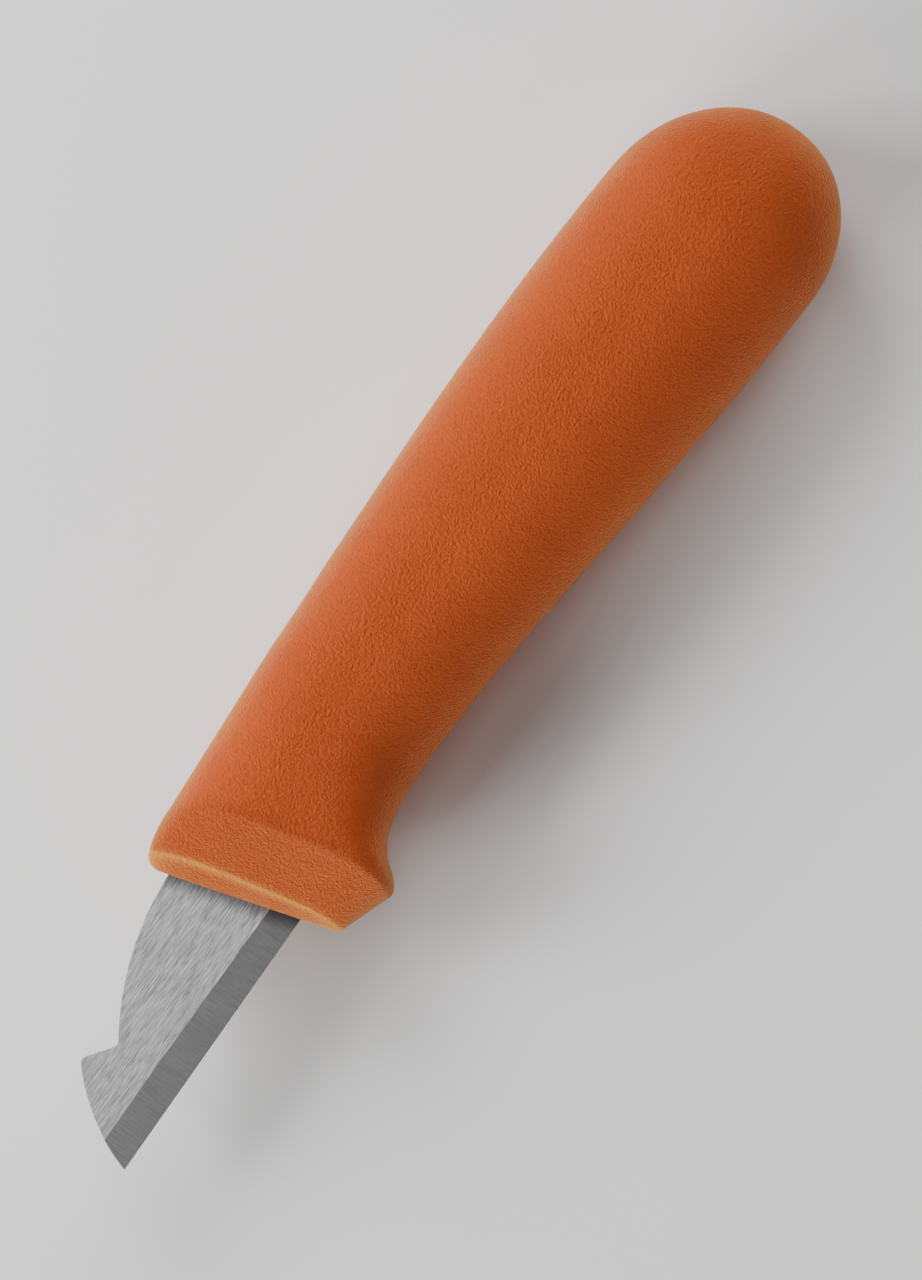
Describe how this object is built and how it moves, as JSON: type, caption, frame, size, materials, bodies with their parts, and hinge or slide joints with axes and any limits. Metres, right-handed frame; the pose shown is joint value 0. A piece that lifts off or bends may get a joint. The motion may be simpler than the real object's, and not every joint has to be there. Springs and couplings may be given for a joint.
{
  "type": "hook knife",
  "caption": "Short fixed-blade knife with a straight cutting edge, a notch and hook in its back, and a moulded handle with a finger guard.",
  "frame": {"origin": "bottom centre of the knife's bounding box, with the knife lying on its side", "axes": "+X towards the blade's tip, +Y towards the cutting edge, +Z across the knife's thickness, up"},
  "size_m": [0.1614, 0.0326, 0.0245],
  "materials": {
    "blade_steel": "brushed along the flats, ground across the bevels",
    "core_plastic": "as moulded",
    "grip_skin": "fine grained, soft sheen"
  },
  "bodies": {
    "root": {"blade": "blade_steel", "handle_core": "core_plastic", "handle_grip": "grip_skin"}
  },
  "joints": []
}
